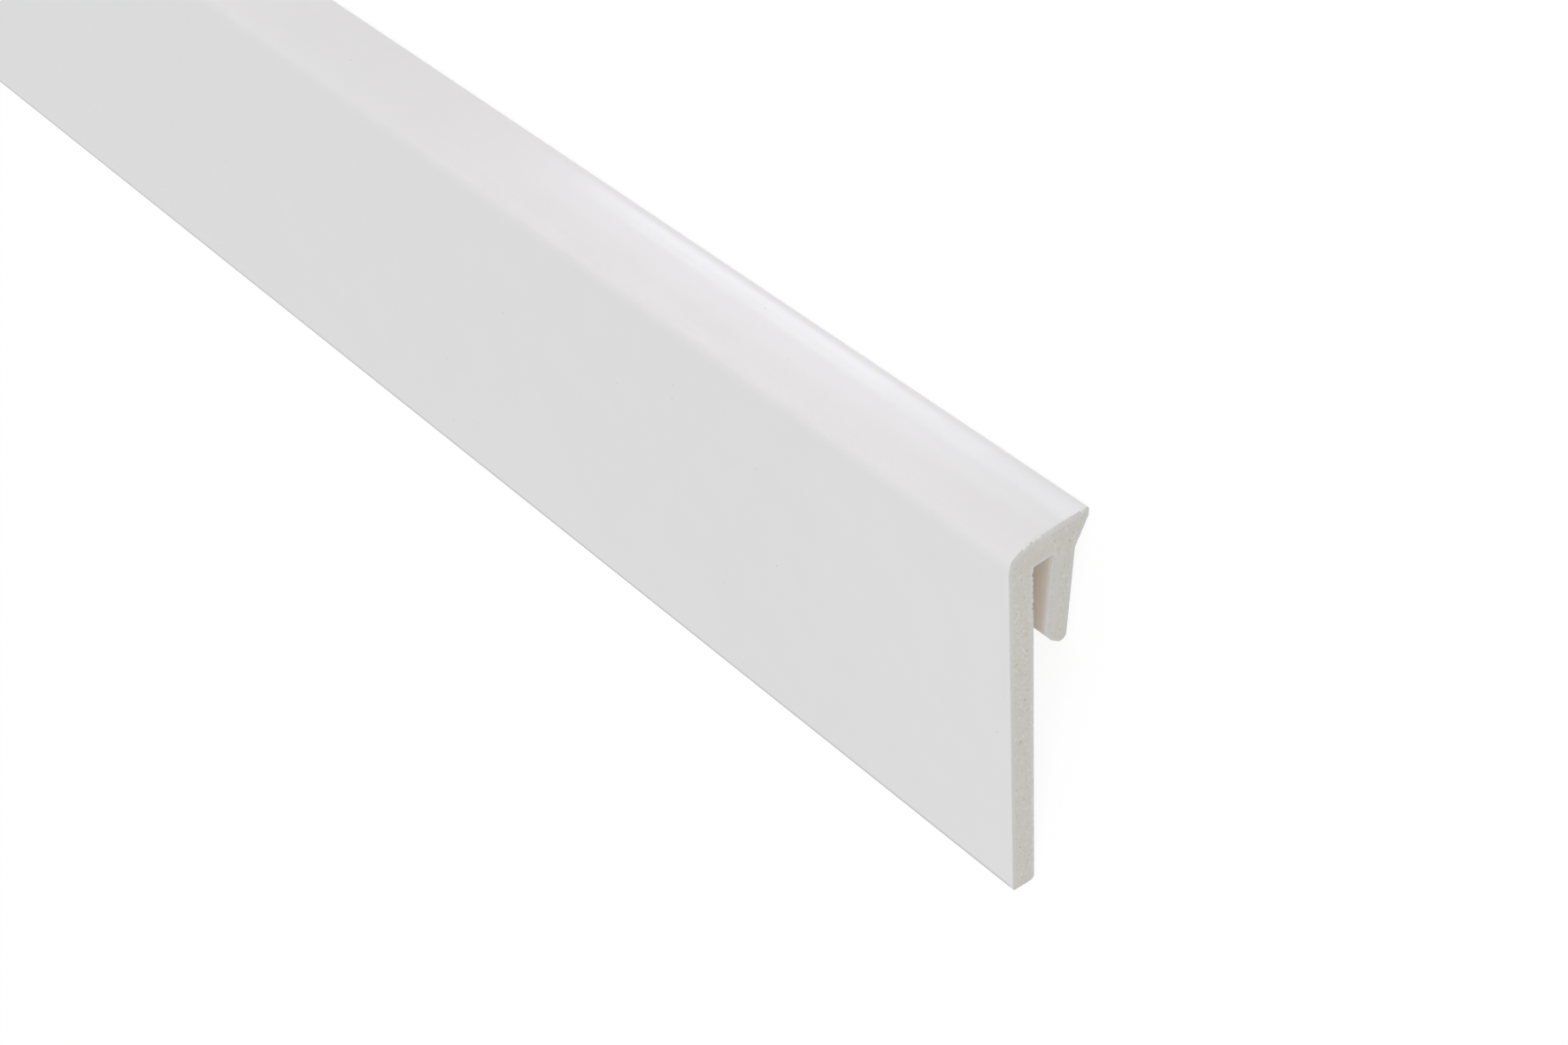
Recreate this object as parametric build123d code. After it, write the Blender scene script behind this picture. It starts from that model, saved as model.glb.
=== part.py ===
from build123d import *
import os
from math import asin, atan, atan2, cos, degrees, hypot, radians, sin, tan

# Overall sizes, millimetres. The section is drawn as the board stands against a wall:
# first coordinate is depth behind the visible face, second is height above the floor edge.
BOARD_LENGTH = 2500.0
HEIGHT = 60.0
DEPTH = 13.8

# Face plate: the tall wall seen from the room, a little thicker where it meets the top wall.
FACE_THICKNESS = 3.9
ROOT_THICKNESS = 4.2
TOE_RADIUS = 0.4
HEEL_RADIUS = 0.8

# Top wall: the face eases over a wide brow into a tight nose, which runs through a shoulder
# into a gently crowned top that climbs to the wall lip. Turns and slopes are in degrees.
BROW_RADIUS = 6.0
BROW_TURN = 16.0
NOSE_RADIUS = 1.7
NOSE_TURN = 57.0
SHOULDER_RADIUS = 9.0
TOP_FRONT_SLOPE = 6.0
TOP_REAR_SLOPE = 2.6
CEILING_HEIGHT = 54.8
CEILING_SLOPE = 4.5

# Wall lip: the flared rear edge that presses on the wall.
LIP_LAND = 1.35
LIP_TOP_RADIUS = 0.45
LIP_UNDER_RADIUS = 1.2
LIP_FLARE = 30.0
NECK_RADIUS = 0.8

# Clip leg: hangs from the top wall behind the face plate and leaves the clip channel between.
LEG_THICKNESS = 3.6
LEG_LEAN = 6.3
LEG_END_DEPTH = 9.7
LEG_END_HEIGHT = 39.3
LEG_END_SLOPE = 34.0
LEG_OUTER_RADIUS = 1.0
LEG_INNER_RADIUS = 2.3
CHANNEL_RADIUS = 0.4


def meet(start, heading, other_start, other_heading):
    """Point where two lines cross; each heading is (depth, height)."""
    du = other_start[0] - start[0]
    dv = other_start[1] - start[1]
    cross = heading[0] * other_heading[1] - heading[1] * other_heading[0]
    along = (du * other_heading[1] - dv * other_heading[0]) / cross
    return (start[0] + along * heading[0], start[1] + along * heading[1])


# Headings of the straight runs.
flare = radians(LIP_FLARE)
lean = radians(LEG_LEAN)
along_flank = (sin(flare), cos(flare))
along_leg = (sin(lean), cos(lean))
along_leg_end = (-cos(radians(LEG_END_SLOPE)), sin(radians(LEG_END_SLOPE)))
along_ceiling = (cos(radians(CEILING_SLOPE)), sin(radians(CEILING_SLOPE)))

# Lip and leg: outer face through its sharp lower corner, inner face one thickness further in.
lip_under = (DEPTH, HEIGHT - LIP_LAND)
leg_outer = (LEG_END_DEPTH, LEG_END_HEIGHT)
neck = meet(lip_under, along_flank, leg_outer, along_leg)
inner_start = (LEG_END_DEPTH - LEG_THICKNESS / cos(lean), LEG_END_HEIGHT)
leg_inner = meet(leg_outer, along_leg_end, inner_start, along_leg)

# Channel: the plate's back in front, a sloping ceiling above, the leg's inner face behind.
channel_front = (ROOT_THICKNESS, CEILING_HEIGHT)
channel_back = meet(inner_start, along_leg, channel_front, along_ceiling)


def arc_step(radius, heading, turned):
    """Depth and height gained by an arc that turns backward; 0 is straight up, 90 level."""
    first = radians(heading)
    last = radians(turned)
    return (radius * (cos(first) - cos(last)), radius * (sin(last) - sin(first)))


# Top: five tangent arcs from the upright face over to the upright land of the lip. The crown
# takes what depth the other four leave, which sets its radius.
shoulder_end = 90 - TOP_FRONT_SLOPE
crown_end = 90 - TOP_REAR_SLOPE
brow_step = arc_step(BROW_RADIUS, 0, BROW_TURN)
nose_step = arc_step(NOSE_RADIUS, BROW_TURN, NOSE_TURN)
shoulder_step = arc_step(SHOULDER_RADIUS, NOSE_TURN, shoulder_end)
lip_step = arc_step(LIP_TOP_RADIUS, crown_end, 180)
crown_depth = DEPTH - brow_step[0] - nose_step[0] - shoulder_step[0] - lip_step[0]
crown_radius = crown_depth / arc_step(1, shoulder_end, crown_end)[0]
crown_step = arc_step(crown_radius, shoulder_end, crown_end)
climb = brow_step[1] + nose_step[1] + shoulder_step[1] + crown_step[1]
brow_start = (0, HEIGHT - LIP_TOP_RADIUS * (1 - sin(radians(crown_end))) - climb)

brow = JernArc(brow_start, (0, 1), BROW_RADIUS, -BROW_TURN)
nose = JernArc(brow @ 1, brow % 1, NOSE_RADIUS, BROW_TURN - NOSE_TURN)
shoulder = JernArc(nose @ 1, nose % 1, SHOULDER_RADIUS, NOSE_TURN - shoulder_end)
crown = JernArc(shoulder @ 1, shoulder % 1, crown_radius, shoulder_end - crown_end)
lip_top = JernArc(crown @ 1, crown % 1, LIP_TOP_RADIUS, crown_end - 180)
corners = [
    (lip_under, LIP_UNDER_RADIUS),
    (neck, NECK_RADIUS),
    (leg_outer, LEG_OUTER_RADIUS),
    (leg_inner, LEG_INNER_RADIUS),
    (channel_back, CHANNEL_RADIUS),
    (channel_front, CHANNEL_RADIUS),
    ((FACE_THICKNESS, 0), HEEL_RADIUS),
    ((0, 0), TOE_RADIUS),
]
rest = FilletPolyline(
    lip_top @ 1,
    *[point for point, radius in corners],
    brow_start,
    radius=[radius for point, radius in corners],
)
section = make_face(brow + nose + shoulder + crown + lip_top + rest)

# Lying angle: the board rests on two long rounds, the heel and the underside of the lip,
# so the floor is the straight line that touches both circles.
plate_draft = atan((ROOT_THICKNESS - FACE_THICKNESS) / channel_front[1])
heel_centre = (
    FACE_THICKNESS + HEEL_RADIUS * (tan(plate_draft) - 1 / cos(plate_draft)),
    HEEL_RADIUS,
)
lip_centre = (
    DEPTH - LIP_UNDER_RADIUS,
    lip_under[1] + LIP_UNDER_RADIUS * tan(flare / 2),
)
apart_u = lip_centre[0] - heel_centre[0]
apart_v = lip_centre[1] - heel_centre[1]
lie = atan2(apart_u, apart_v) + asin((LIP_UNDER_RADIUS - HEEL_RADIUS) / hypot(apart_u, apart_v))

# The board lies on its back, face up: length along X, wall lip towards +Y.
across = Plane(origin=(0, 0, 0), x_dir=(0, sin(lie), -cos(lie)), z_dir=(1, 0, 0))
board = extrude(across * section, amount=BOARD_LENGTH / 2, both=True)
box = board.bounding_box()
board = Pos(0, -(box.min.Y + box.max.Y) / 2, -box.min.Z) * board

os.makedirs("parts", exist_ok=True)
export_step(board, "parts/skirting_board.step")
print("volume mm3", round(board.volume), "lying angle", round(degrees(lie), 3))
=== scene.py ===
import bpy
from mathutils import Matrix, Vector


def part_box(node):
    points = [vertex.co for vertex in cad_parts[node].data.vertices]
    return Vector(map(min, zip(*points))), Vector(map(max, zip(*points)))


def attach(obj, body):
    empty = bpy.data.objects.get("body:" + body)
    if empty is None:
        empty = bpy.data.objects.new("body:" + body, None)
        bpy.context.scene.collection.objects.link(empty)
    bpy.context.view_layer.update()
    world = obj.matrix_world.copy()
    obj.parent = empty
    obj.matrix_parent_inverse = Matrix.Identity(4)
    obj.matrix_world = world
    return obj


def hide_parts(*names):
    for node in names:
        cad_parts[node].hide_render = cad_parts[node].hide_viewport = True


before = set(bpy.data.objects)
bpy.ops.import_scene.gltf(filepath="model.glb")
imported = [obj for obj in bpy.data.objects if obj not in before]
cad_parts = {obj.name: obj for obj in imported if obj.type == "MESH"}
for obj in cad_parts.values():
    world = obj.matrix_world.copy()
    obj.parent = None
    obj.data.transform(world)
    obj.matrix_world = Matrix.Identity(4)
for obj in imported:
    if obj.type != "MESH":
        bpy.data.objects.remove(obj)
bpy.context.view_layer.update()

# %% [markdown]
# # A foamed PVC skirting board
# The real board is one long extrusion: hot foaming plastic is pushed through a steel plate with
# a J-shaped hole and cooled, and the stiff length is sawn to size. So there are only two
# finishes on it, the smooth cooled skin and the open foam of the saw cut, and one shape, the
# section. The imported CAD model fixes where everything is. It is coarse on the rounds, so this
# lesson draws the same section again with fine rounds and builds one closed mesh on it.

# %% Tools and the CAD board
import math

import bpy
import numpy as np
from mathutils import Matrix, Vector, geometry, kdtree

MM = 0.001
SEED = 188
low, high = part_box("skirting_board")
HALF_LENGTH = high.x / MM
rng = np.random.default_rng(SEED)
print("CAD board, mm:", [round((b - a) / MM, 2) for a, b in zip(low, high)])

# %% [markdown]
# ## The section
# The section is drawn as the board stands at a wall: u is depth behind the visible face and v
# is height above the floor edge, both in millimetres. Turns and slopes are in degrees. The
# numbers are the ones the solid was built from, so the two shapes agree all round.

# %% Sizes of the section
HEIGHT, DEPTH = 60.0, 13.8
FACE_THICKNESS, ROOT_THICKNESS = 3.9, 4.2
BROW_RADIUS, BROW_TURN = 6.0, 16.0
NOSE_RADIUS, NOSE_TURN = 1.7, 57.0
SHOULDER_RADIUS = 9.0
TOP_FRONT_SLOPE, TOP_REAR_SLOPE = 6.0, 2.6
CEILING_HEIGHT, CEILING_SLOPE = 54.8, 4.5
LIP_LAND, LIP_TOP_RADIUS, LIP_UNDER_RADIUS, LIP_FLARE = 1.35, 0.45, 1.2, 30.0
NECK_RADIUS = 0.8
LEG_THICKNESS, LEG_LEAN = 3.6, 6.3
LEG_END_DEPTH, LEG_END_HEIGHT, LEG_END_SLOPE = 9.7, 39.3, 34.0
LEG_OUTER_RADIUS, LEG_INNER_RADIUS, CHANNEL_RADIUS = 1.0, 2.3, 0.4
HEEL_RADIUS, TOE_RADIUS = 0.8, 0.4
print("section:", HEIGHT, "mm high,", DEPTH, "mm deep")

# %% [markdown]
# Where two straight walls meet there is a sharp corner first, the crossing of two lines. The
# rounds come later. The corners could be typed in as points, but working them out from
# thickness, lean and slope keeps each wall as thick as it is on the real board.

# %% Sharp corners
def point(u, v):
    return np.array([u, v], float)


def heading(degrees):
    """Unit step; 0 is straight up, 90 is level towards the wall."""
    return point(math.sin(math.radians(degrees)), math.cos(math.radians(degrees)))


def cross_point(a, along_a, b, along_b):
    det = along_a[0] * along_b[1] - along_a[1] * along_b[0]
    gap = b - a
    return a + along_a * (gap[0] * along_b[1] - gap[1] * along_b[0]) / det


lip_under = point(DEPTH, HEIGHT - LIP_LAND)
leg_outer = point(LEG_END_DEPTH, LEG_END_HEIGHT)
along_leg = heading(LEG_LEAN)
neck = cross_point(lip_under, heading(LIP_FLARE), leg_outer, along_leg)
leg_across = LEG_THICKNESS / math.cos(math.radians(LEG_LEAN))
inner_start = point(LEG_END_DEPTH - leg_across, LEG_END_HEIGHT)
leg_inner = cross_point(leg_outer, heading(LEG_END_SLOPE - 90), inner_start, along_leg)
channel_front = point(ROOT_THICKNESS, CEILING_HEIGHT)
channel_back = cross_point(inner_start, along_leg, channel_front, heading(90 - CEILING_SLOPE))
print("neck", neck.round(2), "channel back corner", channel_back.round(2))

# %% [markdown]
# The outline is a closed row of points, close enough together that the rounds look smooth in a
# close view. Three helpers make it: an arc that goes on from where the last one ended, a
# straight wall, and the round that replaces a sharp corner.

# %% Arcs, straight walls and rounds
RING_STEP = 0.14
LEAST_ROUND_STEPS = 6


def arc_step(radius, first, last):
    a, b = math.radians(first), math.radians(last)
    return radius * point(math.cos(a) - math.cos(b), math.sin(b) - math.sin(a))


def arc_run(start, radius, first, last):
    count = max(LEAST_ROUND_STEPS, math.ceil(radius * math.radians(last - first) / RING_STEP))
    return [start + arc_step(radius, first, a) for a in np.linspace(first, last, count + 1)[:-1]]


def straight_run(start, end):
    count = max(1, round(np.linalg.norm(end - start) / RING_STEP))
    return [start + (end - start) * t for t in np.linspace(0, 1, count + 1)[:-1]]


def corner_run(before, corner, after, radius):
    """Start, end and points of the round that replaces a sharp corner."""
    a = (before - corner) / np.linalg.norm(before - corner)
    b = (after - corner) / np.linalg.norm(after - corner)
    half = math.acos(np.clip(a @ b, -1, 1)) / 2
    start, end = corner + a * radius / math.tan(half), corner + b * radius / math.tan(half)
    middle = corner + (a + b) / np.linalg.norm(a + b) * radius / math.sin(half)
    first = math.atan2(*(start - middle)[::-1])
    turn = math.atan2(*(end - middle)[::-1]) - first
    turn = (turn + math.pi) % (2 * math.pi) - math.pi
    count = max(LEAST_ROUND_STEPS, math.ceil(abs(turn) * radius / RING_STEP))
    angles = first + np.linspace(0, turn, count + 1)[:-1]
    return start, end, [middle + radius * point(math.cos(t), math.sin(t)) for t in angles]


print("points on the nose:", len(arc_run(point(0, 0), NOSE_RADIUS, BROW_TURN, NOSE_TURN)))

# %% [markdown]
# The top of the board is a chain of five arcs. Each starts in the direction in which the last
# one ended, so the sheen runs over them without a kink. Four radii are given. The crown takes
# the depth that the other arcs leave, and that sets its radius.

# %% Chain of arcs over the top
shoulder_end, crown_end, lip_end = 90 - TOP_FRONT_SLOPE, 90 - TOP_REAR_SLOPE, 180
fixed_depth = (
    arc_step(BROW_RADIUS, 0, BROW_TURN)
    + arc_step(NOSE_RADIUS, BROW_TURN, NOSE_TURN)
    + arc_step(SHOULDER_RADIUS, NOSE_TURN, shoulder_end)
    + arc_step(LIP_TOP_RADIUS, crown_end, lip_end)
)[0]
crown_radius = (DEPTH - fixed_depth) / arc_step(1, shoulder_end, crown_end)[0]
top_arcs = [
    ("brow", BROW_RADIUS, 0, BROW_TURN),
    ("nose", NOSE_RADIUS, BROW_TURN, NOSE_TURN),
    ("shoulder", SHOULDER_RADIUS, NOSE_TURN, shoulder_end),
    ("crown", crown_radius, shoulder_end, crown_end),
    ("lip_top", LIP_TOP_RADIUS, crown_end, lip_end),
]
climb = sum(arc_step(radius, first, last)[1] for name, radius, first, last in top_arcs)
brow_start = point(0, HEIGHT - LIP_TOP_RADIUS - climb)
print("crown radius", round(crown_radius, 1), "mm, brow from height", round(brow_start[1], 2), "mm")

# %% [markdown]
# The outline is kept as short runs with names, such as crown or leg_inside. Later steps ask for
# a run by name, to put a chip on the crown or a thicker skin beside the channel, and don't have
# to know which point number that is.

# %% Outline as named runs
# A short run above the toe, which carries part of the painted shade line at the toe.
TOE_BAND = 0.42
corners = [
    ("land", "lip_under", lip_under, LIP_UNDER_RADIUS),
    ("flank", "neck", neck, NECK_RADIUS),
    ("leg_outside", "leg_outer", leg_outer, LEG_OUTER_RADIUS),
    ("leg_end", "leg_inner", leg_inner, LEG_INNER_RADIUS),
    ("leg_inside", "channel_back", channel_back, CHANNEL_RADIUS),
    ("ceiling", "channel_front", channel_front, CHANNEL_RADIUS),
    ("plate_back", "heel", point(FACE_THICKNESS, 0), HEEL_RADIUS),
    ("floor_edge", "toe", point(0, 0), TOE_RADIUS),
]
runs = []
spot = brow_start
for name, radius, first, last in top_arcs:
    runs.append((name, arc_run(spot, radius, first, last)))
    spot = spot + arc_step(radius, first, last)
stops = [spot] + [corner for wall, round_name, corner, radius in corners] + [brow_start]
for (wall, round_name, corner, radius), before, after in zip(corners, stops, stops[2:]):
    start, end, points = corner_run(before, corner, after, radius)
    runs.append((wall, straight_run(spot, start)))
    runs.append((round_name, points))
    spot = end
band_top = spot + point(0, TOE_BAND)
runs.append(("toe_band", straight_run(spot, band_top)))
runs.append(("face", straight_run(band_top, brow_start)))
outline = np.array([p for name, points in runs for p in points])
run_of = np.array([name for name, points in runs for p in points])
ring_count = len(outline)
print("outline:", ring_count, "points in", len(runs), "runs")

# %% [markdown]
# ## Laying the section down
# Unheld, the board doesn't stand: it lies on its back on two long rounds, the heel of the face
# plate and the underside of the wall lip. Turning the section until both touch the floor gives
# the lying angle. The box of the CAD board shows whether the two shapes are in the same place.

# %% From section to the shared frame
draft = math.atan((ROOT_THICKNESS - FACE_THICKNESS) / CEILING_HEIGHT)
heel_centre = point(FACE_THICKNESS + HEEL_RADIUS * (math.tan(draft) - 1 / math.cos(draft)), HEEL_RADIUS)
flare_half = math.radians(LIP_FLARE / 2)
lip_centre = point(DEPTH - LIP_UNDER_RADIUS, lip_under[1] + LIP_UNDER_RADIUS * math.tan(flare_half))
apart = lip_centre - heel_centre
lie = math.atan2(*apart) + math.asin((LIP_UNDER_RADIUS - HEEL_RADIUS) / np.linalg.norm(apart))
turn_u = np.array([math.sin(lie), -math.cos(lie)])
turn_v = np.array([math.cos(lie), math.sin(lie)])


def lay_down(uv):
    """Section points to across-and-up points of the shared frame, in millimetres."""
    return uv[:, :1] * turn_u + uv[:, 1:] * turn_v


laid = lay_down(outline)
shift = np.array([low.y, low.z]) / MM - laid.min(0)
laid += shift
print("lies at", round(math.degrees(lie), 2), "degrees; off the CAD box by",
      np.abs(laid.max(0) - np.array([high.y, high.z]) / MM).round(4), "mm")

# %% [markdown]
# ## The saw cut
# A saw opens the foam: hundreds of small cells lie bare in the middle of each wall, and the
# skin that cooled against the steel is dense and has none. The blade also tears the edge, most
# of all on the rounded top. All of this could be a bump texture, but up close the pits need
# real depth, so they are pushed into a fine net of triangles. The chips come first: each has a
# place along the outline, a width, a depth and a reach inward.

# %% Chips along the edge
CHIP_PROFILE = 0.7
PLAIN_REACH = 0.1
ring_gap = np.linalg.norm(np.roll(outline, -1, 0) - outline, axis=1)
girth = np.concatenate([[0], np.cumsum(ring_gap)[:-1]])
AROUND = ring_gap.sum()


def girth_at(run, axis, value):
    """Distance along the outline to the place on a run nearest to a depth (0) or height (1)."""
    members = np.flatnonzero(run_of == run)
    return girth[members[np.abs(outline[members, axis] - value).argmin()]]


def scatter_chips(first, last, count, width, depth, reach):
    return [
        (rng.uniform(first, last), rng.uniform(*width), rng.uniform(*depth), rng.uniform(*reach))
        for _ in range(count)
    ]


def bite_around(chips):
    """Depth and inward reach of the chips at each point of the outline."""
    bite, reach = np.zeros(ring_count), np.full(ring_count, PLAIN_REACH)
    for middle, width, depth, inward in chips:
        off = np.abs((girth - middle + AROUND / 2) % AROUND - AROUND / 2) / (width / 2)
        shape = np.clip(1 - off, 0, None) ** CHIP_PROFILE * depth
        reach = np.where(shape > bite, inward, reach)
        bite = np.maximum(bite, shape)
    return bite, reach


print("once around the section:", round(AROUND, 1), "mm")

# %% [markdown]
# At the channel the blade also pulled a few crumbs out of the edge of the face plate. They show
# against the dark slot, so there the outline of the cut itself is notched. Each notch has a
# height on the plate, a width and a depth.

# %% Notched edge at the channel
NOTCHES = [
    (53.4, 0.60, 0.20),
    (52.7, 0.45, 0.24),
    (50.7, 0.50, 0.12),
    (48.8, 0.60, 0.22),
    (48.0, 0.45, 0.19),
]


def notched(notches):
    """Outline with notches in the plate's back."""
    rim = outline.copy()
    for height, width, depth in notches:
        off = np.abs(outline[:, 1] - height) / (width / 2)
        rim[:, 0] -= (run_of == "plate_back") * depth * np.clip(1 - off, 0, 1) ** CHIP_PROFILE
    return rim


near_rim = notched(NOTCHES)
print("deepest notch", round(float((outline - near_rim).max()), 2), "mm")

# %% [markdown]
# The dense skin isn't equally thick all round, and the cut gets its own tone beside each
# wall: pale where the blade tears it, and darker with painted shade along the floor edge, the
# toe and the inside of the leg. Two small tables hold this by run. The tone is broken into
# uneven patches, since an even band would look drawn with a pen.

# %% Skin depth and edge tone
SKIN_DEPTH = {
    "face": 0.45, "toe_band": 0.5, "brow": 0.5, "nose": 0.6, "shoulder": 0.8, "crown": 0.95,
    "plate_back": 0.35, "leg_inside": 1.2, "channel_back": 0.45, "ceiling": 0.3,
    "heel": 0.55, "toe": 0.6,
}
OTHER_SKIN_DEPTH = 0.4
# Tone from -1, painted shade, to 1, torn, and how far it reaches inward.
EDGE_TONE = {
    "crown": (0.65, 0.42), "shoulder": (0.4, 0.32), "face": (0.2, 0.32), "brow": (0.15, 0.32),
    "plate_back": (0.55, 0.32), "heel": (0.4, 0.32), "leg_inside": (-0.42, 0.7),
    "floor_edge": (-0.7, 0.35), "toe": (-0.7, 0.35),
}
OTHER_EDGE_TONE = (0.05, 0.3)
PLATE_TONE_TOP, PLATE_TONE_FADE, PLATE_TONE_LEAST = 44, 14, 0.15
PATCH_LENGTH, PATCH_RANGE = 0.35, (0.2, 1.8)
skin_depth = np.array([SKIN_DEPTH.get(name, OTHER_SKIN_DEPTH) for name in run_of])
edge_tone, tone_reach = np.array([EDGE_TONE.get(name, OTHER_EDGE_TONE) for name in run_of]).T
below_top = np.clip((PLATE_TONE_TOP - outline[:, 1]) / PLATE_TONE_FADE, PLATE_TONE_LEAST, 1)
edge_tone *= np.where(run_of == "plate_back", below_top, 1)
patches = np.arange(0, AROUND + PATCH_LENGTH, PATCH_LENGTH)
edge_tone *= np.interp(girth, patches, rng.uniform(*PATCH_RANGE, len(patches)))
print("edge tone from", round(float(edge_tone.min()), 2), "to", round(float(edge_tone.max()), 2))

# %% [markdown]
# Every point of the net has to know whether it is inside the section, which point of the
# outline is nearest and what lies around it. Blender's KDTree sorts points in space, so it
# answers the last two quickly for tens of thousands of points.

# %% Finding neighbours
def inside_section(uv, rim):
    odd = np.zeros(len(uv), bool)
    for p, q in zip(rim, np.roll(rim, -1, 0)):
        spans = (p[1] > uv[:, 1]) != (q[1] > uv[:, 1])
        run = (q[0] - p[0]) / (q[1] - p[1] if q[1] != p[1] else 1e-9)
        odd ^= spans & (uv[:, 0] < p[0] + run * (uv[:, 1] - p[1]))
    return odd


def point_tree(uv):
    tree = kdtree.KDTree(len(uv))
    for i, (u, v) in enumerate(uv):
        tree.insert((u, v, 0), i)
    tree.balance()
    return tree


def nearest_ring(uv, rim):
    """Number of the nearest outline point, and the distance to it."""
    tree = point_tree(rim)
    found = [tree.find((u, v, 0)) for u, v in uv]
    return np.array([f[1] for f in found]), np.array([f[2] for f in found])


def oval_around(uv, tree, centre, size, oval, lean):
    """Numbers of the points near a leaning oval, and how far out in it each one is."""
    along = np.array([math.cos(math.radians(lean)), math.sin(math.radians(lean))])
    aside = np.array([-along[1], along[0]])
    near = np.array([f[1] for f in tree.find_range((*centre, 0), size * oval * 2)], int)
    away = uv[near] - centre
    return near, np.hypot(away @ along / (size * oval), away @ aside / size)


mid_channel = (channel_front + channel_back) / 2 - point(0, 1)
print("in the plate, in the channel:",
      inside_section(np.array([point(FACE_THICKNESS / 2, HEIGHT / 2), mid_channel]), outline))

# %% [markdown]
# Each pore is an oval pit with a random size and direction. Between the pores the blade left
# small scraps of cell wall standing, which are raised and paler. Pores could be cut with
# boolean spheres, but thousands of cuts are slow, and lowering points of the net is quick.

# %% Pores and scraps
CUT_AREA = 330
CELL_LEAN = (65, 30)
PORE_SIZE, PORE_SPREAD, PORE_LARGEST = 0.046, 0.42, 0.13
PORE_OVAL, PORE_DEPTH, PORE_PROFILE = (1, 1.9), (0.7, 1.4), 0.7
SCRAP_SHARE, SCRAP_SIZE, SCRAP_OVAL = 0.8, (0.06, 0.12), (1, 2)
SCRAP_HEIGHT, SCRAP_RARITY = 0.04, 1.6


def pores_and_scraps(uv, chance, per_mm2):
    """Pit depth and scrap height, in millimetres, at each point of the net."""
    tree = point_tree(uv)
    pit, scrap = np.zeros(len(uv)), np.zeros(len(uv))
    count = int(chance.sum() / len(uv) * CUT_AREA * per_mm2)
    share = chance / chance.sum()
    for seed in rng.choice(len(uv), count, p=share):
        size = min(PORE_LARGEST, PORE_SIZE * math.exp(rng.normal(0, PORE_SPREAD)))
        oval, lean = rng.uniform(*PORE_OVAL), rng.normal(*CELL_LEAN)
        near, out = oval_around(uv, tree, uv[seed], size, oval, lean)
        depth = size * rng.uniform(*PORE_DEPTH) * np.clip(1 - out**2, 0, 1) ** PORE_PROFILE
        pit[near] = np.maximum(pit[near], depth)
    for seed in rng.choice(len(uv), int(SCRAP_SHARE * count), p=share):
        size, oval, lean = rng.uniform(*SCRAP_SIZE), rng.uniform(*SCRAP_OVAL), rng.normal(*CELL_LEAN)
        near, out = oval_around(uv, tree, uv[seed], size, oval, lean)
        height = SCRAP_HEIGHT * rng.uniform(0, 1) ** SCRAP_RARITY * np.exp(-out**2)
        scrap[near] = np.maximum(scrap[near], height)
    print("pores", count, "scraps", int(SCRAP_SHARE * count))
    return pit, scrap


# %% [markdown]
# The net starts as even rows of points, each shaken a little so that no row shows. Pores fall
# only where a point is inside the foam. They come in loose clouds, and near the root, where the
# walls meet, the foam is finer and has few of them.

# %% Net of points and where the foam is open
ROW_GAP, NET_SHAKE, EDGE_CLEARANCE = 0.87, 0.18, 0.6
CORE_FADE = 0.45
CLOUD_EVEN, CLOUD_SWING = 0.55, 0.45
WAVE_UP, WAVE_BEND, BEND_UP = 1.9, 2, 0.7
WAVE_ACROSS, WAVE_START = 2.3, 1
ROOT_CALM, ROOT_RADII, ROOT_STRENGTH = (5.0, 57.0), (3.8, 2.5), 0.92
LEAST_CHANCE = 1e-9


def net_points(spacing, rim):
    """Points inside the section, with the nearest outline point and the distance to it."""
    rows = np.arange(0, HEIGHT + spacing, spacing * ROW_GAP)
    columns = np.arange(-spacing, DEPTH + spacing, spacing)
    grid = np.array([(u + (k % 2) * spacing / 2, v) for k, v in enumerate(rows) for u in columns])
    grid += rng.uniform(-NET_SHAKE, NET_SHAKE, grid.shape) * spacing
    grid = grid[inside_section(grid, rim)]
    ring, gap = nearest_ring(grid, rim)
    free = gap > EDGE_CLEARANCE * spacing
    return grid[free], ring[free], gap[free]


def open_foam(grid, ring, gap):
    """How far inside the foam each point is, and how likely a pore is there."""
    core = np.clip((gap - skin_depth[ring]) / CORE_FADE, 0, 1)
    core = core * core * (3 - 2 * core)
    wave = grid[:, 1] * WAVE_UP + WAVE_BEND * np.sin(grid[:, 1] * BEND_UP)
    across = grid[:, 0] * WAVE_ACROSS + WAVE_START
    cloudy = CLOUD_EVEN + CLOUD_SWING * np.sin(wave) * np.sin(across)
    off_u, off_v = grid[:, 0] - ROOT_CALM[0], grid[:, 1] - ROOT_CALM[1]
    from_root = np.hypot(off_u / ROOT_RADII[0], off_v / ROOT_RADII[1])
    calm = 1 - ROOT_STRENGTH * np.exp(-from_root**2)
    return core, core * cloudy * calm + LEAST_CHANCE


print("rows of the net:", ROW_GAP, "of a step apart, every second one moved by half a step")

# %% [markdown]
# A constrained Delaunay mesh joins the points with triangles and keeps the outline as its edge.
# Then the relief is added up: pits and scraps in the foam, bevels at the chips, and the fine
# roughness of the saw. The same sums give the tone values that the foam material reads.

# %% One saw cut
CUT_INSET, LEAST_INSET = 0.06, 0.004
BEVEL_PROFILE, BEVEL_ROUGH = 0.8, 0.02
SKIN_ROUGH, FOAM_ROUGH = 0.006, 0.008
# Painted shade on the foam core towards the top of the section: strength, start height and fade.
TOP_SHADE, TOP_SHADE_FROM, TOP_SHADE_FADE = 0.14, 48, 6
FULL_PORE, FULL_BITE, FULL_BEVEL = 0.09, 0.2, 0.15
MERGE_DISTANCE = 1e-6


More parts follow.
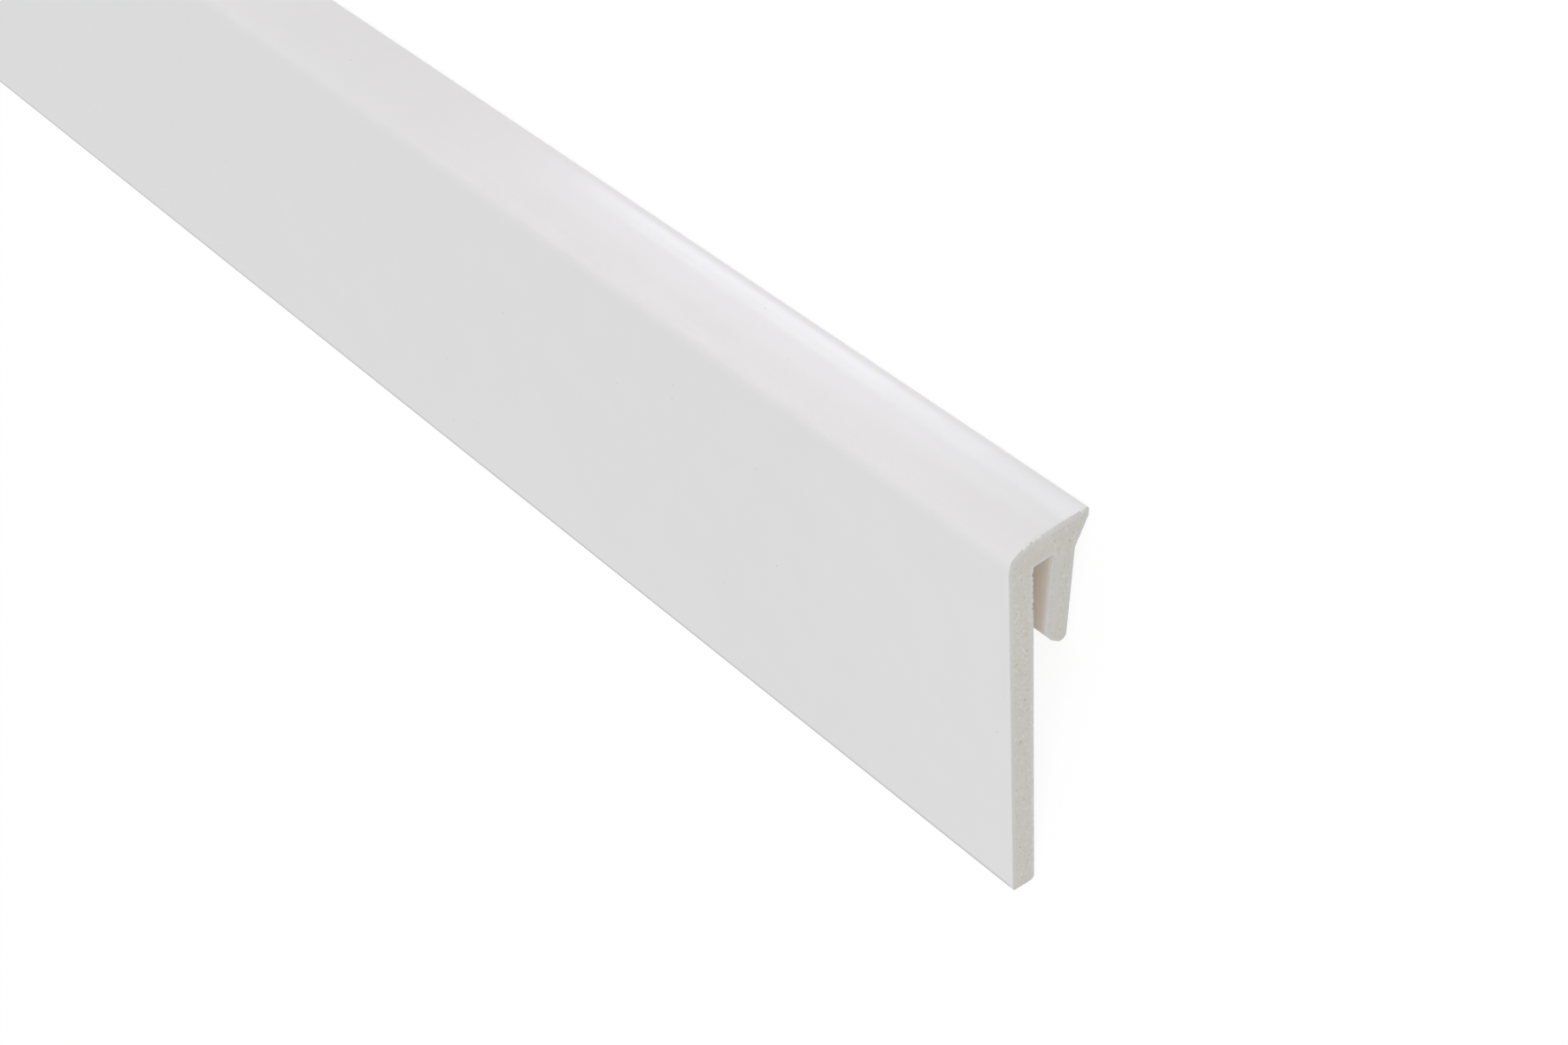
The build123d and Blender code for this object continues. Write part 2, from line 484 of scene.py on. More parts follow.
def fill_ring(uv):
    """Triangles between the points, all with the same turn; the outline comes first in uv."""
    ring_edges = [(i, (i + 1) % ring_count) for i in range(ring_count)]
    whole = [list(range(ring_count))[::-1]]
    _, _, found, origin, _, _ = geometry.delaunay_2d_cdt(
        [Vector(p) for p in uv], ring_edges, whole, 1, MERGE_DISTANCE)
    back = np.array([o[0] for o in origin])
    triangles = back[np.array([f for f in found if len(f) == 3])]
    a, b, c = (uv[triangles[:, k]] for k in range(3))
    turn = (b - a)[:, 0] * (c - a)[:, 1] - (b - a)[:, 1] * (c - a)[:, 0]
    triangles[turn < 0] = triangles[turn < 0][:, ::-1]
    return triangles


def saw_cut(spacing, chips, per_mm2, rim):
    """Points (ring first), inset, tone values and triangles of one cut face."""
    grid, ring, gap = net_points(spacing, rim)
    core, chance = open_foam(grid, ring, gap)
    pit, scrap = pores_and_scraps(grid, chance, per_mm2)
    bite, reach = bite_around(chips)
    bevel = bite[ring] * np.clip(1 - gap / reach[ring], 0, 1) ** BEVEL_PROFILE
    rough = rng.normal(0, 1, len(grid)) * (SKIN_ROUGH + FOAM_ROUGH * core)
    inset = CUT_INSET + np.maximum(pit + rough - scrap, bevel + BEVEL_ROUGH * rough)
    inset = np.maximum(inset, LEAST_INSET)
    torn_and_shade = edge_tone[ring] * np.exp(-gap / tone_reach[ring]) + scrap / SCRAP_HEIGHT
    # Painted shade: the foam core gets darker towards the top of the section.
    torn_and_shade -= TOP_SHADE * core * np.clip((grid[:, 1] - TOP_SHADE_FROM) / TOP_SHADE_FADE, 0, 1)
    uv = np.concatenate([rim, grid])
    on_ring = np.zeros(ring_count)
    return {
        "uv": uv,
        "inset": np.concatenate([CUT_INSET + bite, inset]),
        "pore": np.concatenate([on_ring, np.clip(pit / FULL_PORE, 0, 1)]),
        "foam": np.concatenate([on_ring, core]),
        "torn_and_shade": np.concatenate([edge_tone, np.clip(torn_and_shade, -1, 1)]),
        "chip": np.concatenate([np.clip(bite / FULL_BITE, 0, 1), np.clip(bevel / FULL_BEVEL, 0, 1)]),
        "triangles": fill_ring(uv),
    }


print("the cuts lie", CUT_INSET, "mm inside the ends of the CAD board")

# %% [markdown]
# The near cut is the one that is looked at closely, so it has the finer net and the larger
# chips. They sit where the real ones do: most on the shoulder and the crown, a few on the lip,
# and small ones at the channel. The far cut is coarser and less torn.

# %% Both cuts
NEAR_SPACING, NEAR_PER_MM2 = 0.082, 10.0
FAR_SPACING, FAR_PER_MM2 = 0.125, 8.0
top_chips = scatter_chips(girth_at("shoulder", 0, 2.4), girth_at("crown", 0, 6.4), 8,
                          (0.3, 0.8), (0.2, 0.5), (0.3, 0.65))
top_chips += scatter_chips(girth_at("shoulder", 0, 1.8), girth_at("crown", 0, 8.8), 14,
                           (0.15, 0.4), (0.1, 0.3), (0.12, 0.3))
lip_chips = scatter_chips(girth_at("crown", 0, 12.0), girth_at("crown", 0, 13.0), 3,
                          (0.4, 0.8), (0.1, 0.3), (0.15, 0.4))
slot_chips = scatter_chips(girth_at("plate_back", 1, 54.0), girth_at("plate_back", 1, 46.5), 14,
                           (0.2, 0.6), (0.08, 0.25), (0.08, 0.2))
small_chips = scatter_chips(0, AROUND, 60, (0.15, 0.5), (0.02, 0.08), (0.05, 0.12))
near_chips = top_chips + lip_chips + slot_chips + small_chips
near_cut = saw_cut(NEAR_SPACING, near_chips, NEAR_PER_MM2, near_rim)
far_chips = scatter_chips(girth_at("shoulder", 0, 1.5), girth_at("crown", 0, 12.0), 20,
                          (0.3, 1.0), (0.06, 0.3), (0.15, 0.4))
far_cut = saw_cut(FAR_SPACING, far_chips + small_chips, FAR_PER_MM2, outline)
for name, cut in (("near cut", near_cut), ("far cut", far_cut)):
    print(name, len(cut["uv"]), "points", len(cut["triangles"]), "triangles, deepest",
          round(float(cut["inset"].max()), 2), "mm")

# %% [markdown]
# ## Masks of the skin
# Some places of the skin have painted light or shade in their colour. The channel has painted
# shade, darker and warmer deeper in; the toe has a thin line of painted shade; the cut edge of
# the leg has a pale painted highlight; and the top has painted light, a little lighter than the
# face. A mask is 1 in such a place, 0 elsewhere, and fades between. It is worked out for each
# point of the outline, so nothing has to be unwrapped or drawn into a texture.

# %% Masks around the outline
CHANNEL_FROM, CHANNEL_FADE = 32.0, 8.0
# Heights where the painted light on the top starts and where it is full.
TOP_PAINTED_LIGHT_LOW, TOP_PAINTED_LIGHT_FULL = 55.8, 57.1
CHANNEL_RUNS = ["leg_inner", "leg_inside", "channel_back", "ceiling", "channel_front", "plate_back"]
TOE_RUNS = ["toe", "toe_band", "floor_edge"]
LEG_EDGE_RUNS = ["leg_inside", "leg_inner"]
TOP_RUNS = ["brow", "nose", "shoulder", "crown", "lip_top", "land"]
up_outline = outline[:, 1]
# Painted shade in the channel, darker and warmer deeper in.
channel = np.isin(run_of, CHANNEL_RUNS) * np.clip((up_outline - CHANNEL_FROM) / CHANNEL_FADE, 0, 1)
# Painted shade: a thin dark line on the toe round and just above it.
toe_line = np.isin(run_of, TOE_RUNS) * np.clip((TOE_RADIUS + TOE_BAND - up_outline) / TOE_BAND, 0, 1)
# Painted highlight: a pale line along the cut edge of the leg.
leg_edge_highlight = np.isin(run_of, LEG_EDGE_RUNS) * 1.0
# Painted light: the top lighter than the face, rising over the brow.
top_rise = np.clip((up_outline - TOP_PAINTED_LIGHT_LOW) / (TOP_PAINTED_LIGHT_FULL - TOP_PAINTED_LIGHT_LOW), 0, 1)
top_skin = np.isin(run_of, TOP_RUNS) * top_rise
for name, mask in (("channel", channel), ("toe_line", toe_line), ("top_skin", top_skin)):
    print(name, "covers", round(float((mask * ring_gap).sum()), 1), "mm of the outline")

# %% [markdown]
# ## One closed board
# Between the cuts the section never changes, so a coarse ring every few centimetres is enough
# there. The last millimetres at each end carry the full outline, because the chips bite into
# that edge. A zip of triangles joins the two kinds of ring, and the result has no open edge.

# %% Rings and zips
COARSE_TURN, COARSE_LONGEST = 2.5, 5.0
# Values on the mesh. Four masks carry painted light or shade, and torn carries painted shade below zero.
TONE_NAMES = ("pore", "foam", "torn_and_shade", "channel", "toe_line", "chip", "leg_edge_highlight", "top_skin")
vertices, faces = [], []
tones = {key: [] for key in TONE_NAMES}


def coarse_points():
    """Numbers of the outline points that a coarse ring needs."""
    ahead = np.roll(outline, -1, 0) - outline
    way = np.degrees(np.unwrap(np.arctan2(ahead[:, 1], ahead[:, 0])))
    keep = [0]
    for i in range(1, ring_count):
        new_run = run_of[i] != run_of[i - 1]
        turned = abs(way[i] - way[keep[-1]]) >= COARSE_TURN
        if new_run or turned or girth[i] - girth[keep[-1]] >= COARSE_LONGEST:
            keep.append(i)
    return np.array(keep)


def add_points(across_up, x, **tone):
    """Adds points at one x or at an array of x, and returns the number of the first."""
    first = sum(len(v) for v in vertices)
    x = np.broadcast_to(np.asarray(x, float), (len(across_up),))
    vertices.append(np.column_stack([x, across_up]))
    for key in tones:
        tones[key].append(np.broadcast_to(tone.get(key, 0.0), (len(across_up),)))
    return first


def zip_rings(fine, plain, fine_is_near):
    """Triangles between a full ring and a coarse ring, from the first point number of each."""
    out = []
    teeth = list(coarse) + [ring_count]
    for k, (i, j) in enumerate(zip(teeth, teeth[1:])):
        here, there = plain + k, plain + (k + 1) % len(coarse)
        middle = (i + j) // 2
        for a in range(i, j):
            corner = here if a < middle else there
            out.append((fine + a, fine + (a + 1) % ring_count, corner))
        out.append((fine + middle % ring_count, there, here))
    return out if fine_is_near else [t[::-1] for t in out]


def band(near, far, count):
    return [(near + i, near + (i + 1) % count, far + (i + 1) % count, far + i) for i in range(count)]


coarse = coarse_points()
print("full ring", ring_count, "points, coarse ring", len(coarse))

# %% [markdown]
# Each sawn end is its net of triangles plus a short sleeve of the full outline. The net of the
# far end is turned round, so that its faces look outward too.

# %% Ends and rings in their places
CHIPPED_ZONE, ZIP_ZONE, RING_PITCH = 1.2, 4.0, 60.0


def add_cut(cut, side):
    """One sawn end with its chipped edge zone; side is 1 for the near end, -1 for the far end."""
    x = side * (HALF_LENGTH - cut["inset"])
    net_only = np.zeros(len(x) - ring_count)
    values = {key: cut[key] for key in ("pore", "foam", "torn_and_shade", "chip")}
    values["leg_edge_highlight"] = np.concatenate([leg_edge_highlight, net_only])
    values["top_skin"] = np.concatenate([top_skin, net_only])
    first = add_points(lay_down(cut["uv"]) + shift, x, **values)
    sleeve_x = side * (HALF_LENGTH - CHIPPED_ZONE)
    inner = add_points(laid, sleeve_x, channel=channel, toe_line=toe_line, top_skin=top_skin)
    flat = cut["triangles"] if side > 0 else cut["triangles"][:, ::-1]
    faces.extend((flat + first).tolist())
    faces.extend(band(first, inner, ring_count) if side > 0 else band(inner, first, ring_count))
    return first, inner


near_ring, near_inner = add_cut(near_cut, 1)
far_start = len(faces)
far_ring, far_inner = add_cut(far_cut, -1)
reach_x = HALF_LENGTH - ZIP_ZONE
stations = np.linspace(reach_x, -reach_x, int(2 * reach_x / RING_PITCH))
skin_tones = {"channel": channel[coarse], "toe_line": toe_line[coarse], "top_skin": top_skin[coarse]}
plain_rings = [add_points(laid[coarse], x, **skin_tones) for x in stations]
faces.extend(zip_rings(near_inner, plain_rings[0], True))
faces.extend(zip_rings(far_inner, plain_rings[-1], False))
for nearer, farther in zip(plain_rings, plain_rings[1:]):
    faces.extend(band(nearer, farther, len(coarse)))
print(len(stations), "plain rings,", len(faces), "faces")

# %% [markdown]
# Now the lists become one mesh object. It rides on the root body and stands in for the CAD
# board. All faces are smooth, and only the edge between skin and cut is marked sharp, as it is
# on a sawn board. The masks and tone values go along as named attributes.

# %% The board as an object
mesh = bpy.data.meshes.new("skirting_board_visual")
mesh.from_pydata((np.concatenate(vertices) * MM).tolist(), [], faces)
for key, pieces in tones.items():
    layer = mesh.attributes.new(key, "FLOAT", "POINT")
    layer.data.foreach_set("value", np.concatenate(pieces).astype(np.float32))
is_cut = np.zeros(len(faces), np.int32)
is_cut[:len(near_cut["triangles"])] = 1
is_cut[far_start:far_start + len(far_cut["triangles"])] = 1
mesh.polygons.foreach_set("material_index", is_cut)
mesh.polygons.foreach_set("use_smooth", np.ones(len(faces), bool))
edge_ends = np.zeros(len(mesh.edges) * 2, np.int32)
mesh.edges.foreach_get("vertices", edge_ends)
edge_ends = edge_ends.reshape(-1, 2)
on_edge = np.zeros(len(edge_ends), bool)
for ring_start in (near_ring, far_ring):
    on_edge |= ((edge_ends >= ring_start) & (edge_ends < ring_start + ring_count)).all(1)
mesh.attributes.new("sharp_edge", "BOOLEAN", "EDGE").data.foreach_set("value", on_edge)
mesh.validate()
board = bpy.data.objects.new("skirting_board_visual", mesh)
bpy.context.scene.collection.objects.link(board)
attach(board, "root")
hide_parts("skirting_board")
mesh.calc_loop_triangles()
print("board:", len(mesh.vertices), "points,", len(mesh.loop_triangles), "triangles")

# %% [markdown]
# ## Finishes
# A material is a tree of nodes. Both finishes need the same few: a node with its values set, a
# mix of two colours, a change of range, and the reading of a value that the mesh carries. These
# helpers keep the materials short enough to read as a recipe.

# %% Helpers for node trees
def add_node(tree, kind, settings=None, **inputs):
    """Adds a node; inputs are numbers or colours by socket name, with _ for a space."""
    new = tree.nodes.new(kind)
    for key, value in (settings or {}).items():
        setattr(new, key, value)
    for key, value in inputs.items():
        new.inputs[key.replace("_", " ")].default_value = value
    return new


def join(tree, source, target):
    tree.links.new(source, target)


def mix_colour(tree, factor, first, second, blend="MIX"):
    """Colour mix; each of the three is a socket or a plain value."""
    settings = {"data_type": "RGBA", "blend_type": blend, "clamp_factor": True}
    new = add_node(tree, "ShaderNodeMix", settings)
    for socket, value in ((new.inputs[0], factor), (new.inputs[6], first), (new.inputs[7], second)):
        if isinstance(value, bpy.types.NodeSocket):
            join(tree, value, socket)
        else:
            socket.default_value = value
    return new.outputs[2]


def map_range(tree, value, from_low, from_high, to_low, to_high):
    new = add_node(tree, "ShaderNodeMapRange", None, From_Min=from_low, From_Max=from_high,
                   To_Min=to_low, To_Max=to_high)
    join(tree, value, new.inputs["Value"])
    return new.outputs["Result"]


def read_value(tree, name):
    """A value that the mesh carries at each point."""
    return add_node(tree, "ShaderNodeAttribute", {"attribute_name": name}).outputs["Fac"]


def new_material(name):
    material = bpy.data.materials.new(name)
    material.use_nodes = True
    tree = material.node_tree
    return material, tree, tree.nodes["Principled BSDF"]


print("values on the mesh:", ", ".join(TONE_NAMES))

# %% [markdown]
# Skin and foam are the same plastic, so both use one node group, Plastic_mottle, for the slight
# uneven tone that foamed PVC has. The group only puts out a colour and a value that change over
# the surface. Constant numbers, such as the roughness of the foam, are set on the shader itself.

# %% Mottle of the plastic
CLOUD_LOW, CLOUD_HIGH = 0.7, 1.3


def mottle_group():
    """Plastic_mottle: two sizes of soft cloud as a colour between two tones and as a value."""
    tree = bpy.data.node_groups.new("Plastic_mottle", "ShaderNodeTree")
    sockets = tree.interface
    sockets.new_socket("Vector", in_out="INPUT", socket_type="NodeSocketVector")
    for name, value in (("Broad Scale", 20.0), ("Fine Scale", 400.0)):
        sockets.new_socket(name, in_out="INPUT", socket_type="NodeSocketFloat").default_value = value
    for name in ("Dark Tone", "Light Tone"):
        sockets.new_socket(name, in_out="INPUT", socket_type="NodeSocketColor")
    sockets.new_socket("Colour", in_out="OUTPUT", socket_type="NodeSocketColor")
    sockets.new_socket("Cloud", in_out="OUTPUT", socket_type="NodeSocketFloat")
    given, put_out = tree.nodes.new("NodeGroupInput"), tree.nodes.new("NodeGroupOutput")
    both = add_node(tree, "ShaderNodeMath", {"operation": "ADD"})
    for scale, socket in zip(("Broad Scale", "Fine Scale"), both.inputs):
        noise = add_node(tree, "ShaderNodeTexNoise", None, Detail=3.0, Roughness=0.55)
        join(tree, given.outputs["Vector"], noise.inputs["Vector"])
        join(tree, given.outputs[scale], noise.inputs["Scale"])
        join(tree, noise.outputs["Fac"], socket)
    cloud = map_range(tree, both.outputs[0], CLOUD_LOW, CLOUD_HIGH, 0.0, 1.0)
    colour = mix_colour(tree, cloud, given.outputs["Dark Tone"], given.outputs["Light Tone"])
    join(tree, colour, put_out.inputs["Colour"])
    join(tree, cloud, put_out.inputs["Cloud"])
    return tree


def place_mottle(tree, place, **values):
    """The group as a node of one material, with that material's own values."""
    new = add_node(tree, "ShaderNodeGroup", {"node_tree": mottle}, **values)
    join(tree, place, new.inputs["Vector"])
    return new


mottle = mottle_group()
put_out_names = [s.name for s in mottle.interface.items_tree if s.in_out == "OUTPUT"]
print("node group", mottle.name, "puts out", put_out_names)

# %% [markdown]
# ### The skin
# The skin is a satin off-white. Its colour starts from the mottle and is changed step by step
# where the masks say so: the face is painted a little darker and greyer, as painted light on
# the top; the channel gets painted shade, darker and warmer; the toe gets a line of painted
# shade; the cut edge of the leg gets a painted highlight. A few pinholes keep the long face from
# looking computed.

# %% Colour of the skin
PLASTIC_IOR = 1.53
SKIN_DARK, SKIN_LIGHT = (0.833, 0.820, 0.820, 1), (0.853, 0.840, 0.840, 1)
# Painted light: the face is multiplied darker and greyer so that the top looks lighter.
FACE_PAINTED_SHADE = (0.9615, 0.9766, 0.9775, 1)
# Painted shade: the channel walls and the thin line at the toe.
CHANNEL_PAINTED_SHADE, TOE_PAINTED_SHADE = (0.82, 0.755, 0.665, 1), (0.55, 0.55, 0.55, 1)
# The second colour is a painted highlight on the cut edge of the leg; the first is the pinholes.
SPECK_TONE, LEG_EDGE_HIGHLIGHT_TONE = (0.45, 0.43, 0.40, 1), (0.95, 0.92, 0.89, 1)
SPECK_FULL, SPECK_EDGE, SPECK_STRENGTH = 0.015, 0.032, 0.7
SKIN_SMOOTHEST, SKIN_ROUGHEST = 0.36, 0.44
skin, skin_tree, skin_shader = new_material("PVC_skin")
skin_shader.inputs["IOR"].default_value = PLASTIC_IOR
skin_place = add_node(skin_tree, "ShaderNodeTexCoord").outputs["Object"]
skin_cloud = place_mottle(skin_tree, skin_place, Broad_Scale=14.0, Fine_Scale=120.0,
                          Dark_Tone=SKIN_DARK, Light_Tone=SKIN_LIGHT)
speck = add_node(skin_tree, "ShaderNodeTexVoronoi", None, Scale=200.0)
join(skin_tree, skin_place, speck.inputs["Vector"])
speck_mask = map_range(skin_tree, speck.outputs["Distance"], SPECK_FULL, SPECK_EDGE, SPECK_STRENGTH, 0.0)
# Painted light: the face, where the top mask is 0, is multiplied darker.
on_face = map_range(skin_tree, read_value(skin_tree, "top_skin"), 0.0, 1.0, 1.0, 0.0)
walls = mix_colour(skin_tree, on_face, skin_cloud.outputs["Colour"], FACE_PAINTED_SHADE, "MULTIPLY")
# Painted shade in the channel and on the toe, and a painted highlight on the cut edge of the leg.
for mask_name, tone in (("channel", CHANNEL_PAINTED_SHADE), ("toe_line", TOE_PAINTED_SHADE), ("leg_edge_highlight", LEG_EDGE_HIGHLIGHT_TONE)):
    walls = mix_colour(skin_tree, read_value(skin_tree, mask_name), walls, tone)
join(skin_tree, mix_colour(skin_tree, speck_mask, walls, SPECK_TONE), skin_shader.inputs["Base Color"])
satin = map_range(skin_tree, skin_cloud.outputs["Cloud"], 0.0, 1.0, SKIN_SMOOTHEST, SKIN_ROUGHEST)
join(skin_tree, satin, skin_shader.inputs["Roughness"])
print("skin colour:", len(skin_tree.nodes), "nodes")

# %% [markdown]
# The steel plate leaves very fine lines along the board, and cooling leaves a faint swell. Both
# are too shallow to model: noise squeezed across the board and drawn out along it, fed to a bump
# of a few thousandths of a millimetre, bends the soft reflections the way the real skin does.

# %% Relief of the skin
LINE_SCALE = (1.5, 900.0, 900.0)
SWELL_SHARE = 3.0
drawn = add_node(skin_tree, "ShaderNodeMapping", None, Scale=LINE_SCALE)
join(skin_tree, skin_place, drawn.inputs["Vector"])
lines = add_node(skin_tree, "ShaderNodeTexNoise", None, Scale=1.0, Detail=4.0, Roughness=0.6)
join(skin_tree, drawn.outputs["Vector"], lines.inputs["Vector"])
swell = add_node(skin_tree, "ShaderNodeTexNoise", None, Scale=90.0, Detail=2.0)
join(skin_tree, skin_place, swell.inputs["Vector"])
relief = add_node(skin_tree, "ShaderNodeMath", {"operation": "MULTIPLY_ADD"})
join(skin_tree, swell.outputs["Fac"], relief.inputs[0])
relief.inputs[1].default_value = SWELL_SHARE
join(skin_tree, lines.outputs["Fac"], relief.inputs[2])
skin_bump = add_node(skin_tree, "ShaderNodeBump", None, Strength=0.35, Distance=0.000012)
join(skin_tree, relief.outputs[0], skin_bump.inputs["Height"])
join(skin_tree, skin_bump.outputs["Normal"], skin_shader.inputs["Normal"])
mesh.materials.append(skin)
print("skin:", len(skin_tree.nodes), "nodes")

# %% [markdown]
# ### The sawn foam
# The cut is duller and creamier than the skin. The net of triangles carries four values at each
# point: how deep it lies in a pore, how far inside the foam it is, how torn it is or how much
# painted shade it has, and how chipped. They pick the tone: pores get painted shade by their
# depth, the dense skin is greyer, torn scraps and chips are pale, and painted shade darkens the
# floor edge, the inside of the leg and the foam towards the top. Cells too small for the net are
# dots of painted shade from a Voronoi texture.

# %% Foam material
CORE_DARK, CORE_LIGHT = (0.534, 0.517, 0.476, 1), (0.589, 0.558, 0.520, 1)
# The second colour is painted shade in the pores.
DENSE_TONE, PORE_PAINTED_SHADE = (0.557, 0.549, 0.523, 1), (0.465, 0.430, 0.385, 1)
# The second colour is painted shade for the floor edge, the toe, the inside of the leg and the foam
# towards the top.
TORN_TONE, FOAM_PAINTED_SHADE = (0.665, 0.662, 0.658, 1), (0.47, 0.47, 0.465, 1)
CHIP_TONE = (0.75, 0.75, 0.76, 1)
DOT_FULL, DOT_EDGE, DOT_STRENGTH = 0.12, 0.34, 0.45
foam, foam_tree, foam_shader = new_material("Sawn_foam")
foam_shader.inputs["Roughness"].default_value = 0.8
foam_shader.inputs["IOR"].default_value = PLASTIC_IOR
foam_place = add_node(foam_tree, "ShaderNodeTexCoord").outputs["Object"]
foam_cloud = place_mottle(foam_tree, foam_place, Broad_Scale=500.0, Fine_Scale=4000.0,
                          Dark_Tone=CORE_DARK, Light_Tone=CORE_LIGHT)
inside = read_value(foam_tree, "foam")
dense = mix_colour(foam_tree, inside, DENSE_TONE, foam_cloud.outputs["Colour"])
# Painted shade: dots for cells too small for the net.
cell = add_node(foam_tree, "ShaderNodeTexVoronoi", None, Scale=4200.0)
join(foam_tree, foam_place, cell.inputs["Vector"])
dots = map_range(foam_tree, cell.outputs["Distance"], DOT_FULL, DOT_EDGE, DOT_STRENGTH, 0.0)
tiny = add_node(foam_tree, "ShaderNodeMath", {"operation": "MULTIPLY"})
join(foam_tree, dots, tiny.inputs[0])
join(foam_tree, inside, tiny.inputs[1])
dotted = mix_colour(foam_tree, tiny.outputs[0], dense, PORE_PAINTED_SHADE)
# Painted shade in the pits, by their depth.
pitted = mix_colour(foam_tree, read_value(foam_tree, "pore"), dotted, PORE_PAINTED_SHADE)
torn_value = read_value(foam_tree, "torn_and_shade")
# Painted shade where the tone value is below zero; pale torn foam where it is above.
foam_with_shade = mix_colour(foam_tree, map_range(foam_tree, torn_value, 0.0, -1.0, 0.0, 1.0), pitted, FOAM_PAINTED_SHADE)
ragged = mix_colour(foam_tree, map_range(foam_tree, torn_value, 0.0, 1.0, 0.0, 1.0), foam_with_shade, TORN_TONE)
chipped = mix_colour(foam_tree, read_value(foam_tree, "chip"), ragged, CHIP_TONE)
join(foam_tree, chipped, foam_shader.inputs["Base Color"])
foam_bump = add_node(foam_tree, "ShaderNodeBump", None, Strength=0.5, Distance=0.00004)
join(foam_tree, foam_cloud.outputs["Cloud"], foam_bump.inputs["Height"])
join(foam_tree, foam_bump.outputs["Normal"], foam_shader.inputs["Normal"])
mesh.materials.append(foam)
print("foam:", len(foam_tree.nodes), "nodes")

# %% [markdown]
# ## Floor, light and camera
# The board lies on a plain white floor under an even sky. A white floor could be lit until it
# clips, but that would burn out the board too. So the floor adds a little white of its own
# where it is seen directly, and still takes the board's shadow.

# %% Floor
def is_seen(tree):
    """1 for rays that show the background itself: from the camera, in gloss or through glass."""
    path = add_node(tree, "ShaderNodeLightPath")
    total = path.outputs["Is Camera Ray"]
    for name in ("Is Glossy Ray", "Is Transmission Ray"):
        most = add_node(tree, "ShaderNodeMath", {"operation": "MAXIMUM"})
        join(tree, total, most.inputs[0])
        join(tree, path.outputs[name], most.inputs[1])
        total = most.outputs[0]
    return total


FLOOR_SIDE = 6.0
FLOOR_GLOW, GLOW_STRENGTH = 0.85, 1.04
floor_corners = [(x * FLOOR_SIDE, y * FLOOR_SIDE, 0) for x, y in ((-1, -1), (1, -1), (1, 1), (-1, 1))]
floor_mesh = bpy.data.meshes.new("floor")
floor_mesh.from_pydata(floor_corners, [], [(0, 1, 2, 3)])
floor = bpy.data.objects.new("floor", floor_mesh)
bpy.context.scene.collection.objects.link(floor)
floor_paint, floor_tree, floor_shader = new_material("Floor_white")
floor_shader.inputs["Base Color"].default_value = (0.95, 0.95, 0.95, 1)
floor_shader.inputs["Roughness"].default_value = 0.9
floor_shader.inputs["Specular IOR Level"].default_value = 0.0
glow = add_node(floor_tree, "ShaderNodeEmission", None, Strength=GLOW_STRENGTH)
lit_and_glow = add_node(floor_tree, "ShaderNodeMixShader")
glow_share = map_range(floor_tree, is_seen(floor_tree), 0.0, 1.0, 0.0, FLOOR_GLOW)
for source, socket in zip((glow_share, floor_shader.outputs[0], glow.outputs[0]), lit_and_glow.inputs):
    join(floor_tree, source, socket)
join(floor_tree, lit_and_glow.outputs[0], floor_tree.nodes["Material Output"].inputs["Surface"])
floor_mesh.materials.append(floor_paint)
print("floor", 2 * FLOOR_SIDE, "m wide")

# %% [markdown]
# The sky is a little brighter on the side of the wall lip than on the side of the floor edge.
# That alone shades the section softly: the top is lighter than the face, and the nose runs
# smoothly from one to the other. Where the sky itself is seen, it is plain white.

# %% Sky
SKY_TOE_SIDE, SKY_LIP_SIDE = (0.650, 0.650, 0.652, 1), (0.850, 0.850, 0.852, 1)
SEEN_WHITE = (1, 1, 1, 1)
world = bpy.data.worlds.new("Studio")
bpy.context.scene.world = world
world.use_nodes = True
sky_tree = world.node_tree
sky_way = add_node(sky_tree, "ShaderNodeSeparateXYZ")
join(sky_tree, add_node(sky_tree, "ShaderNodeTexCoord").outputs["Generated"], sky_way.inputs[0])
to_lip = map_range(sky_tree, sky_way.outputs["Y"], -1.0, 1.0, 0.0, 1.0)
sky_light = mix_colour(sky_tree, to_lip, SKY_TOE_SIDE, SKY_LIP_SIDE)
sky_colour = mix_colour(sky_tree, is_seen(sky_tree), sky_light, SEEN_WHITE)
join(sky_tree, sky_colour, sky_tree.nodes["Background"].inputs["Color"])
print("sky from", SKY_TOE_SIDE[:3], "to", SKY_LIP_SIDE[:3])

# %% [markdown]
# The channel in the sawn end is deep and narrow, so little of the sky reaches into it. A large
# soft lamp in front of the end sends light there. It is an area lamp, because a large lamp makes
# soft shadows, and the helper aims it at a point from a direction and a distance.

# %% Front lamp
FRONT_DIRECTION, FRONT_DISTANCE = (0.85, 0.10, 0.50), 2.0
FRONT_SIZE, FRONT_WATTS = (1.2, 0.8), 10.0
END_MIDDLE_Z = 0.006


def soft_lamp(name, target, direction, distance, shape, size, watts, colour=(1, 1, 1), spread=180):
    light = bpy.data.lights.new(name, "AREA")
    light.shape, light.energy, light.color = shape, watts, colour
    light.size, light.size_y = size
    light.spread = math.radians(spread)
    lamp = bpy.data.objects.new(name, light)
    bpy.context.scene.collection.objects.link(lamp)
    way = Vector(direction).normalized()
    lamp.location = Vector(target) + way * distance
    lamp.rotation_euler = way.to_track_quat("Z", "Y").to_euler()
    return lamp


near_end = Vector((high.x, 0, END_MIDDLE_Z))
front = soft_lamp("front_lamp", near_end, FRONT_DIRECTION, FRONT_DISTANCE, "RECTANGLE", FRONT_SIZE,
                  FRONT_WATTS)
print(front.name, "at", [round(value, 2) for value in front.location])

# %% [markdown]
# The lip carries a soft sheen that fades both ways along the board. It comes from narrow lamps
# close to the lip, with a small spread so that they light nothing else. Five strips of different
# lengths lie over each other, which makes the sheen fade, two thinner lines brighten its lower
# edge, and two oval glows lift the rest of the top.

